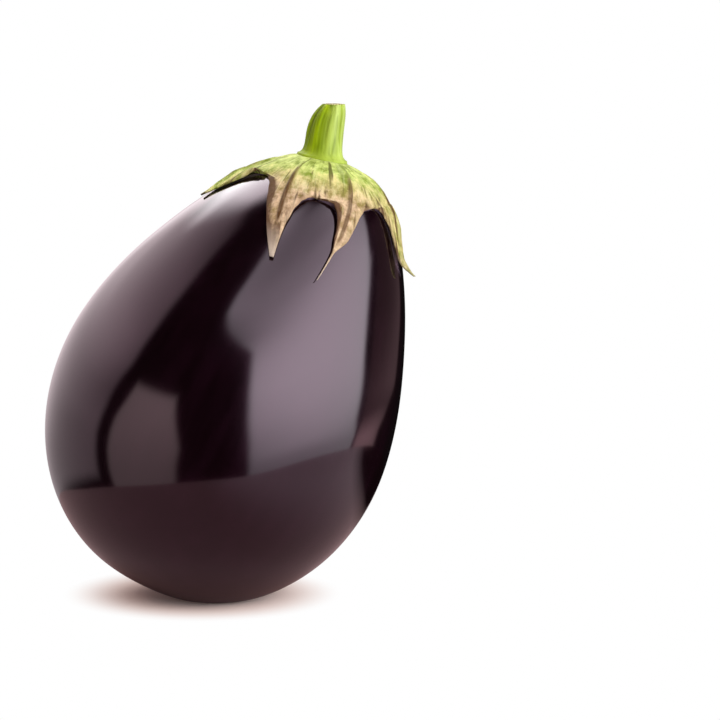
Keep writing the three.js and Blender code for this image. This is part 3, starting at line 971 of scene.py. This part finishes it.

# %% [markdown]
# ## The finish of the stem: fresh green stalk
#
# The stalk is still juicy, so it is brighter than the leaf and has a faint satin shine. Its fibres
# run along it, 0.9 mm apart and ten times as long, with bands 3 mm wide among them: the ridges are
# painted pale and the grooves dark, as painted highlight and shade. The side towards the key lamp
# is painted paler and the far side a darker olive, as painted light and shade. The cut has dried to
# a beige face with a brown rim.

# %% Fresh green stalk
def stem_stalk():
    """Olive in the grooves and lime on the ridges, as painted shade and highlight, paler on the
    side towards the key lamp and darker on the far side, as painted light and shade, and a beige
    cut.
    """
    material, tree = new_material("fresh_green_stalk")
    place = add(tree, "TexCoord", output="Object")
    along = add(tree, "Mapping",
                {"Vector": place, "Location": CAP_PLACE, "Rotation": CAP_TURN, "Scale": (1, 1, 10)},
                vector_type="TEXTURE")
    fact = read_facts(tree, "along", "inner", "cut", "ridge", "painted_lit_side")
    fibres = add(tree, "TexNoise",
                 {"Vector": along, "Scale": per_mm(0.9), "Detail": 4.0, "Roughness": 0.6})
    bands = add(tree, "TexNoise", {"Vector": along, "Scale": per_mm(3.0), "Detail": 2.0})
    # Painted shade and highlight: the grooves get the darker greens and the ridges the paler ones.
    ridge = ramp(tree, fact["ridge"], -0.9, 0.9)
    # Painted light and shade: the side towards the key lamp gets the paler greens and the far side
    # the darker olive.
    painted_shade_side = mix(tree, ridge, "#536200", "#859b00")
    painted_lit_side = mix(tree, ridge, "#9cae34", "#c3d178")
    green = mix(tree, fact["painted_lit_side"], painted_shade_side, painted_lit_side)
    pale_band = mix(tree, fact["painted_lit_side"], "#a2b600", "#c6d470")
    green = mix(tree, ramp(tree, bands, 0.5, 0.72, 0.0, 0.5), green, pale_band)
    green = mix(tree, ramp(tree, bands, 0.46, 0.3, 0.0, 0.6), green, "#536404")
    green = mix(tree, ramp(tree, fibres, 0.55, 0.75, 0.0, 0.45), green, "#5c6a00")
    green = mix(tree, ramp(tree, fact["along"], 0.0, 0.22, 0.5, 0.0), green, "#a6b43c")
    pith = mix(tree, fact["inner"], "#8c7a52", "#d8cda4")
    colour = mix(tree, fact["cut"], green, pith)
    roughness = add(tree, "Mix", {"Factor": fact["cut"], "A": 0.55, "B": 0.8})
    relief = add(tree, "Bump", {"Height": fibres, "Strength": 0.6, "Distance": 0.1 * MM})
    surface = add(tree, "BsdfPrincipled", {
        "Base Color": colour, "Roughness": roughness, "IOR": 1.4, "Specular IOR Level": 0.18,
        "Normal": relief,
    })
    add(tree, "OutputMaterial", {"Surface": surface})
    return material


finish_piece(stem, stem_stalk())

# %% [markdown]
# ## Where the pieces ride
#
# Each fine surface stands for the CAD solid of the same piece, which stays for collisions only.
# Nothing moves on an eggplant, so all three ride on the one body, the root.

# %% Riding and replacing
for piece, node in ((skin, "fruit"), (calyx, "calyx"), (stem, "stem")):
    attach(piece, "root")
    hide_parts(node)
print("riding on the root:", skin.name, calyx.name, stem.name)

# %% [markdown]
# ## The table
#
# The eggplant stands on a white table that runs out of sight. Near the fruit the table is plain,
# faintly pink card, which takes the soft shadow. Further out it glows, and that glow is painted
# light: it grows with the distance from the shadow's centre, so it sets how far the shadow reaches
# and keeps the rest white. The card's pink tint and the warm colour of the faint glow near the
# shadow paint the shadow's warm tint.
#
# A mirror-like skin shows its whole surroundings, and a real studio table ends a hand's width from
# the fruit, with the dark room below. So what the skin sees is a small round card of its own, and
# the wide table is hidden from reflections. The card is lighter on the side of the strongest lamp.
# A black patch at its back right, painted shade in what the skin reflects, keeps the right rim
# dark.

# %% Card that glows, and the table
def glowing_card(name, colour, glow, way, start_and_end, most, patch=None):
    """Matt card that glows more and more, up to a share. The way is a VectorMath operation and its
    vector: the distance from a point, or the distance along a direction. The glow's own colour
    turns from the one given to white as it grows. A patch is the centre of a black spot, and the
    distances from it at which the black begins to fade and has gone."""
    material, tree = new_material(name)
    place = add(tree, "TexCoord", output="Object")
    operation, vector = way
    distance = add(tree, "VectorMath", {0: place, 1: vector}, "Value", operation=operation)
    start, end = start_and_end
    share = add(tree, "MapRange",
                {"Value": distance, "From Min": start, "From Max": end, "To Max": most},
                interpolation_type="SMOOTHSTEP")
    card = add(tree, "BsdfDiffuse", {"Color": linear(colour), "Roughness": 0.5})
    light = add(tree, "Emission", {"Color": mix(tree, share, glow, "#ffffff"), "Strength": 1.0})
    surface = add(tree, "MixShader", {0: share, 1: card, 2: light})
    if patch:
        # Painted shade: a soft black spot on the card, for the skin to reflect.
        away = add(tree, "VectorMath", {0: place, 1: patch[0]}, "Value", operation="DISTANCE")
        black = add(tree, "BsdfDiffuse", {"Color": linear("#0a0606")})
        surface = add(tree, "MixShader", {0: ramp(tree, away, *patch[1]), 1: black, 2: surface})
    add(tree, "OutputMaterial", {"Surface": surface})
    return material


TABLE_HALF = 6000.0
SHADOW_CENTRE = (-0.0045, 0.003, 0.0)  # metres, as a material's places and distances are
TABLE_GLOW = (0.0155, 0.043)

corners = np.array([[-1, -1, 0], [1, -1, 0], [1, 1, 0], [-1, 1, 0]]) * TABLE_HALF
table = make_mesh("table", corners, [[0, 1, 2, 3]])
# Painted light and shadow: the glow round SHADOW_CENTRE sets how far the shadow reaches, and the
# warm card and glow colours tint the shadow.
finish_piece(table, glowing_card(
    "white_table", "#f8e0d9", "#f3cfc0", ("DISTANCE", SHADOW_CENTRE), TABLE_GLOW, 1.0))
table.visible_glossy = False
table.visible_shadow = False

# %% The card that the skin reflects
CARD_CENTRE = np.array([28.0, 0.0, 0.0])
CARD_RADIUS = 147.0
CARD_SIDES = 96
CARD_WAY = (0.9, -0.43, 0.0)
CARD_GLOW = (0.035, 0.12)
CARD_MOST = 0.39
DARK_PATCH = (0.138, 0.098, 0.0)
DARK_RADIUS = (0.072, 0.1)

turn = np.linspace(0, 2 * np.pi, CARD_SIDES, endpoint=False)
ring = np.stack([np.cos(turn), np.sin(turn), 0 * turn], -1) * CARD_RADIUS + CARD_CENTRE
card = make_mesh("reflected_card", ring, [list(range(CARD_SIDES))])
finish_piece(card, glowing_card(
    "grey_card", "#897071", "#ffecfa", ("DOT_PRODUCT", CARD_WAY), CARD_GLOW, CARD_MOST,
    (DARK_PATCH, DARK_RADIUS)))
card.visible_camera = False
card.visible_diffuse = False
card.visible_shadow = False

# %% [markdown]
# ## A lamp as a sheet of light
#
# A product shot of something this glossy is lit with large softboxes, and their images in the skin
# are most of what one sees of it. Each lamp is a sheet of light that bends round the fruit. Its
# left and right edges are given from the bottom up as directions from the fruit's middle: azimuth 0
# is towards the camera and 90 is to its right. Each level also says how bright it is at the left,
# in the middle and at the right, because a real softbox fades away from its bulb. Its cloth front
# has no sharp rim either, so the glow dies out over a few degrees at every edge.

# %% A softbox
LAMP_CENTRE = np.array([5.0, 0.0, 68.0])
LAMP_ROWS = 60
LAMP_COLUMNS = 48


def direction(azimuth, elevation):
    """The unit vector towards an azimuth and an elevation, in degrees."""
    a, e = np.radians(azimuth), np.radians(elevation)
    return np.stack([np.sin(a) * np.cos(e), -np.cos(a) * np.cos(e), np.sin(e)], -1)


def crowded(count):
    """Numbers from 0 to 1 that crowd towards both ends, as a cosine does."""
    return (1 - np.cos(np.linspace(0, np.pi, count))) / 2


def lamp_cloth(name, colour, clear):
    """Plain emission by the glow attribute. Clear cloth adds it to the light from behind."""
    material, tree = new_material(name)
    glow = read_facts(tree, "glow")["glow"]
    light = add(tree, "Emission", {"Color": linear(colour), "Strength": glow})
    if clear:
        light = add(tree, "AddShader", {0: light, 1: add(tree, "BsdfTransparent")})
    add(tree, "OutputMaterial", {"Surface": light})
    return material


def softbox(name, colour, distance, feather, levels, clear=False):
    """A sheet of light. A level is (left azimuth, left elevation, right azimuth, right elevation,
    left, middle and right glow). Angles are straight blends between levels and between edges, and
    the glow across a level is the parabola through its three values. It dies out over the feather,
    an angle that is half outside and half inside the edges given."""
    levels = np.array(levels, float)
    levels[:, 0] -= feather / 2
    levels[:, 2] += feather / 2
    levels[0, [1, 3]] -= feather / 2
    levels[-1, [1, 3]] += feather / 2
    v = (len(levels) - 1) * crowded(LAMP_ROWS)
    u = crowded(LAMP_COLUMNS)
    at = [np.interp(v, np.arange(len(levels)), column)[:, None] for column in levels.T]
    azimuth, elevation = lerp(at[0], at[2], u), lerp(at[1], at[3], u)
    glow = at[4] * (1 - u) * (1 - 2 * u) + 4 * at[5] * u * (1 - u) + at[6] * u * (2 * u - 1)
    from_side = np.minimum(u, 1 - u) * (at[2] - at[0]) * np.cos(np.radians(elevation))
    from_end = np.minimum(elevation - elevation[:1], elevation[-1:] - elevation)
    glow = glow * smoothstep(np.minimum(from_side, from_end), 0, feather)
    sheet = distance * direction(azimuth, elevation) + LAMP_CENTRE
    faces = grid_faces(LAMP_ROWS, LAMP_COLUMNS).tolist()
    lamp = make_mesh(name, sheet.reshape(-1, 3), faces, {"glow": glow.reshape(-1)})
    lamp.data.materials.append(lamp_cloth(name, colour, clear))
    lamp.visible_camera = False
    return lamp


print("azimuth 90 is towards", direction(90, 0).round(2))

# %% [markdown]
# ## The lamps round the fruit
#
# The key lamp stands at the right front and reaches over the top: its image is the broad pale panel
# down the fruit. A dimmer one at the left lights that flank, and a bright one behind it draws the
# white rim along the shoulder. That one is clear, so that its faded foot adds to the lamp behind it
# and leaves no dark edge there. A low, warm card at the left front gives the small panel, and a dim
# pink one at the back right keeps the right edge from going quite black. The ceiling lights leaf
# and table, and is hidden from reflections.
#
# The camera doesn't see the lamps themselves, and looks at a plain white room. Every other ray
# finds the room nearly black, so that only the lamps and the card show in the skin.

# %% The key lamp and the lamp at the left
softbox("key_softbox", "#f7fcff", 900, 5, [
    (22, -29, 104, -27, 0.5, 0.7, 0.6), (21.3, -20, 99, -18, 1.0, 1.3, 1.0),
    (20.5, -15, 95.5, -14, 1.3, 2.2, 1.5), (19.5, -9, 95.5, -8, 1.65, 2.75, 2.3),
    (17, 0, 93.5, 0, 2.3, 3.45, 2.6), (15, 11, 94.5, 10, 3.0, 3.75, 2.6),
    (14, 20, 97.5, 19, 2.8, 3.7, 2.3), (13, 27, 100.5, 26, 2.1, 3.3, 1.7),
    (3, 32, 103.5, 33, 0.7, 2.85, 1.4), (-8, 39, 104, 39, 1.0, 2.05, 1.4),
    (-13, 45, 95, 45, 1.8, 1.75, 2.8), (-11, 51, 86, 51, 1.85, 1.25, 2.1),
    (-7, 57, 80, 57, 1.7, 1.15, 2.1), (-4, 63, 78, 63, 1.8, 1.1, 1.4),
    (-2, 69, 68, 69, 2.5, 1.1, 0.3), (8, 76, 62, 76, 2.6, 1.5, 0.4),
])
softbox("side_softbox", "#ffecf1", 900, 7, [
    (-175, -22, -86, -22, 0.3, 0.36, 0.45), (-175, -17, -85.5, -17, 0.34, 0.38, 0.48),
    (-175, -12, -85.5, -12, 0.45, 0.42, 0.5), (-175, -3, -84.5, -3, 1.05, 0.54, 0.58),
    (-175, 4, -81.5, 4, 1.05, 0.7, 0.6), (-175, 9, -79, 9, 0.95, 0.76, 0.5),
    (-175, 15, -77, 15, 0.9, 0.88, 0.36), (-175, 21, -73.5, 21, 0.86, 1.12, 0.35),
    (-160, 26, -69.5, 26, 0.74, 1.2, 0.41), (-150, 33, -68, 33, 0.78, 1.22, 0.48),
    (-144, 42, -65.5, 42, 0.92, 1.03, 0.55), (-136, 51, -65.5, 51, 0.7, 0.86, 0.54),
    (-128, 57, -68, 57, 0.7, 0.68, 0.46), (-122, 63, -72, 63, 0.64, 0.5, 0.36),
    (-115, 69, -80, 69, 0.36, 0.2, 0.1),
])

# %% The lamp behind and the two small cards
softbox("back_softbox", "#ffffff", 850, 12, [
    (-200, 8, -166, 8, 0.5, 0.4, 0.3), (-200, 15, -163, 14, 0.9, 0.8, 0.7),
    (-200, 20, -160, 21, 1.5, 1.4, 1.1), (-200, 25, -157, 26, 2.6, 2.4, 2.0),
    (-200, 30, -153, 31, 4.0, 4.0, 3.4), (-200, 36, -147.5, 36, 4.5, 4.5, 4.1),
    (-200, 42, -139.5, 42, 4.4, 4.4, 3.9), (-200, 50, -134.5, 50, 4.4, 4.4, 4.0),
    (-200, 57, -125.5, 57, 4.4, 4.4, 4.0), (-195, 65, -114.5, 65, 4.4, 4.2, 3.5),
    (-190, 73, -106, 73, 3.5, 3.0, 2.4),
], clear=True)
softbox("window_card", "#fff0eb", 800, 5, [
    (-72.5, -30, -25, -30, 0.5, 0.56, 0.5), (-74, -19, -24, -18, 0.5, 0.65, 0.62),
    (-73.5, -9, -22, -9, 0.6, 0.76, 0.76), (-71, -1, -24, -1, 0.72, 0.88, 0.9),
    (-68, 6, -26, 5, 0.78, 0.98, 1.04), (-62.5, 13, -27, 10, 0.9, 1.06, 1.06),
    (-56.5, 19.8, -28, 15, 1.0, 1.1, 0.92),
])
softbox("edge_card", "#ffd0d6", 850, 5, [
    (97, -25, 122, -23, 0.8, 0.75, 0.3), (99, -19, 124, -17, 0.95, 0.75, 0.2),
    (101, -14, 134, -13, 0.13, 0.15, 0.1), (101, -10, 142, -11, 0.16, 0.21, 0.11),
    (101, 0, 145, -3, 0.11, 0.11, 0.13), (103, 10, 142, 8, 0.09, 0.09, 0.09),
    (106, 24, 140, 20, 0.09, 0.07, 0.06),
])

# %% The ceiling
ceiling = softbox("ceiling_softbox", "#ffffff", 950, 5, [
    (-140, 62, 140, 62, 6.8, 6.8, 6.8), (-90, 80, 90, 80, 6.8, 6.8, 6.8),
])
ceiling.visible_glossy = False

# %% The white room
world = bpy.data.worlds.new("white_room")
world.use_nodes = True
room = world.node_tree
room.nodes.clear()
seen = add(room, "LightPath", output="Is Camera Ray")
room_colour = mix(room, seen, "#0d0d0d", "#ffffff")
backdrop = add(room, "Background", {"Color": room_colour, "Strength": 1.0})
add(room, "OutputWorld", {"Surface": backdrop})
bpy.context.scene.world = world
bpy.context.scene.view_settings.view_transform = "Standard"
print("view transform", bpy.context.scene.view_settings.view_transform)

# %% [markdown]
# ## The end
#
# The last line brings the view layer up to date.

# %% The end
bpy.context.view_layer.update()
